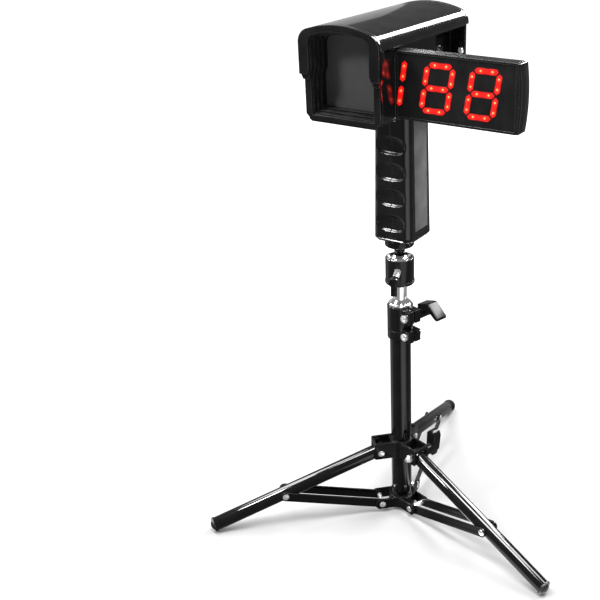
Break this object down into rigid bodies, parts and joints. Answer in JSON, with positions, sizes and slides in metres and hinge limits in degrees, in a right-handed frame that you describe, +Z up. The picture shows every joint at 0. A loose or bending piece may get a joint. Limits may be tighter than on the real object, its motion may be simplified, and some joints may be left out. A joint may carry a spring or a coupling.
{
  "type": "speed radar gun",
  "caption": "Black speed radar gun with a hooded antenna window and a swing-out red number display, on a ball head and a folding tripod stand.",
  "frame": {"origin": "on the floor, at the middle of the rectangle that the three feet span", "axes": "+Z up, the antenna faces -Y, the open display points along +X"},
  "size_m": [0.3121, 0.3066, 0.469],
  "materials": {
    "gloss_black": "gloss",
    "satin_black": "satin",
    "grip_black": "semi_gloss",
    "inlay_grey": "satin",
    "window_grey": "satin",
    "display_tint": "satin",
    "led_red": "glowing",
    "led_amber": "glowing",
    "tube_black": "gloss",
    "hub_black": "satin",
    "casting_black": "satin",
    "lever_black": "satin",
    "foot_rubber": "matte",
    "chrome": "mirror",
    "bright_steel": "bright",
    "brass": "bright",
    "nylon": "satin",
    "board_green": "satin",
    "battery_skin": "gloss",
    "button_red": "satin",
    "button_grey": "satin"
  },
  "bodies": {
    "stand": {"column_tube": "tube_black", "column_plug": "foot_rubber", "collar": "casting_black", "collar_bolts": "bright_steel", "lower_hub": "hub_black", "lower_hub_rivets": "bright_steel"},
    "hub": {"upper_hub": "hub_black", "upper_hub_rivets": "bright_steel", "hub_bolt": "bright_steel"},
    "hub_knob": {"hub_knob": "lever_black"},
    "leg_1": {"leg_1": "tube_black", "foot_cap_1": "foot_rubber"},
    "leg_2": {"leg_2": "tube_black", "foot_cap_2": "foot_rubber"},
    "leg_3": {"leg_3": "tube_black", "foot_cap_3": "foot_rubber"},
    "brace_1": {"brace_1": "hub_black", "brace_rivets_1": "bright_steel"},
    "brace_2": {"brace_2": "hub_black", "brace_rivets_2": "bright_steel"},
    "brace_3": {"brace_3": "hub_black", "brace_rivets_3": "bright_steel"},
    "riser": {"inner_tube": "tube_black"},
    "head": {"spigot": "chrome", "ball_housing": "casting_black", "housing_ring": "casting_black", "ball_seat": "nylon"},
    "collar_lever": {"collar_lever": "lever_black"},
    "lock_lever": {"lock_screw": "bright_steel", "lock_lever": "lever_black"},
    "ball": {"ball": "chrome", "ball_stem": "casting_black"},
    "gun": {"grip_left": "grip_black", "grip_right": "grip_black", "grip_inlays": "inlay_grey", "grip_cap": "grip_black", "thread_insert": "brass", "battery_tray": "satin_black", "batteries": "battery_skin", "body_shell": "gloss_black", "hood": "gloss_black", "front_bezel": "gloss_black", "radar_window": "window_grey", "rear_cover": "gloss_black", "antenna_module": "board_green", "main_board": "board_green", "display_catch": "bright_steel", "case_screws": "bright_steel", "hinge_pin": "bright_steel"},
    "power_button": {"power_button": "button_red"},
    "unit_button": {"unit_button": "button_grey"},
    "mode_button": {"mode_button": "button_grey"},
    "display": {"display_case": "satin_black", "display_back": "satin_black", "display_cap": "gloss_black", "display_window": "display_tint", "display_board": "board_green", "led_segments": "led_red", "led_points": "led_amber"}
  },
  "joints": [
    {"name": "hub_slide", "type": "slide", "parent": "stand", "child": "hub", "axis": [0, 0, 1], "range_m": [0, 0.104]},
    {"name": "hub_knob_turn", "type": "hinge", "parent": "hub", "child": "hub_knob", "pos_m": [-0.00005, -0.03231, 0.065], "axis": [0.2924, 0.9563, 0], "range_deg": [0, 180]},
    {"name": "leg_1_fold", "type": "hinge", "parent": "hub", "child": "leg_1", "pos_m": [-0.03549, -0.04049, 0.065], "axis": [0.682, -0.7314, 0], "range_deg": [0, 37.4]},
    {"name": "brace_1_fold", "type": "hinge", "parent": "stand", "child": "brace_1", "pos_m": [-0.03549, -0.04049, 0.0085], "axis": [0.682, -0.7314, 0], "range_deg": [-42.6, 0]},
    {"name": "leg_2_fold", "type": "hinge", "parent": "hub", "child": "leg_2", "pos_m": [-0.00005, -0.03231, 0.065], "axis": [0.2924, 0.9563, 0], "range_deg": [0, 37.4]},
    {"name": "brace_2_fold", "type": "hinge", "parent": "stand", "child": "brace_2", "pos_m": [-0.00005, -0.03231, 0.0085], "axis": [0.2924, 0.9563, 0], "range_deg": [-42.6, 0]},
    {"name": "leg_3_fold", "type": "hinge", "parent": "hub", "child": "leg_3", "pos_m": [-0.02486, -0.00571, 0.065], "axis": [-0.9744, -0.225, 0], "range_deg": [0, 37.4]},
    {"name": "brace_3_fold", "type": "hinge", "parent": "stand", "child": "brace_3", "pos_m": [-0.02486, -0.00571, 0.0085], "axis": [-0.9744, -0.225, 0], "range_deg": [-42.6, 0]},
    {"name": "riser_slide", "type": "slide", "parent": "stand", "child": "riser", "axis": [0, 0, 1], "range_m": [0, 0.13]},
    {"name": "head_turn", "type": "hinge", "parent": "riser", "child": "head", "pos_m": [-0.02013, -0.02617, 0.225], "axis": [0, 0, 1], "continuous": true},
    {"name": "collar_lever_turn", "type": "hinge", "parent": "stand", "child": "collar_lever", "pos_m": [-0.00675, -0.03026, 0.2065], "axis": [0.2924, 0.9563, 0], "range_deg": [-60, 35]},
    {"name": "lock_lever_turn", "type": "hinge", "parent": "head", "child": "lock_lever", "pos_m": [-0.01248, -0.04464, 0.2505], "axis": [0.3827, -0.9239, 0], "range_deg": [0, 90]},
    {"name": "ball_tilt", "type": "hinge", "parent": "head", "child": "ball", "pos_m": [-0.02013, -0.02617, 0.2535], "axis": [1, 0, 0], "range_deg": [-30, 30]},
    {"name": "gun_turn", "type": "hinge", "parent": "ball", "child": "gun", "pos_m": [-0.02013, -0.02617, 0.28], "axis": [0, 0, 1], "continuous": true},
    {"name": "display_swing", "type": "hinge", "parent": "gun", "child": "display", "pos_m": [0.00837, -0.08167, 0.425], "axis": [0, 0, 1], "range_deg": [0, 90]},
    {"name": "power_press", "type": "slide", "parent": "gun", "child": "power_button", "axis": [0, -1, 0], "range_m": [0, 0.0015], "stiffness_N_per_m": 300, "springref_m": -0.001},
    {"name": "unit_press", "type": "slide", "parent": "gun", "child": "unit_button", "axis": [0, -1, 0], "range_m": [0, 0.0015], "stiffness_N_per_m": 300, "springref_m": -0.001},
    {"name": "mode_press", "type": "slide", "parent": "gun", "child": "mode_button", "axis": [0, -1, 0], "range_m": [0, 0.0015], "stiffness_N_per_m": 300, "springref_m": -0.001}
  ],
  "couplings": [
    {"joint": "leg_1_fold", "follows": "hub_slide", "rad_per_m": 6.2375},
    {"joint": "brace_1_fold", "follows": "hub_slide", "rad_per_m": -7.1002},
    {"joint": "leg_2_fold", "follows": "hub_slide", "rad_per_m": 6.2375},
    {"joint": "brace_2_fold", "follows": "hub_slide", "rad_per_m": -7.1002},
    {"joint": "leg_3_fold", "follows": "hub_slide", "rad_per_m": 6.2375},
    {"joint": "brace_3_fold", "follows": "hub_slide", "rad_per_m": -7.1002}
  ]
}
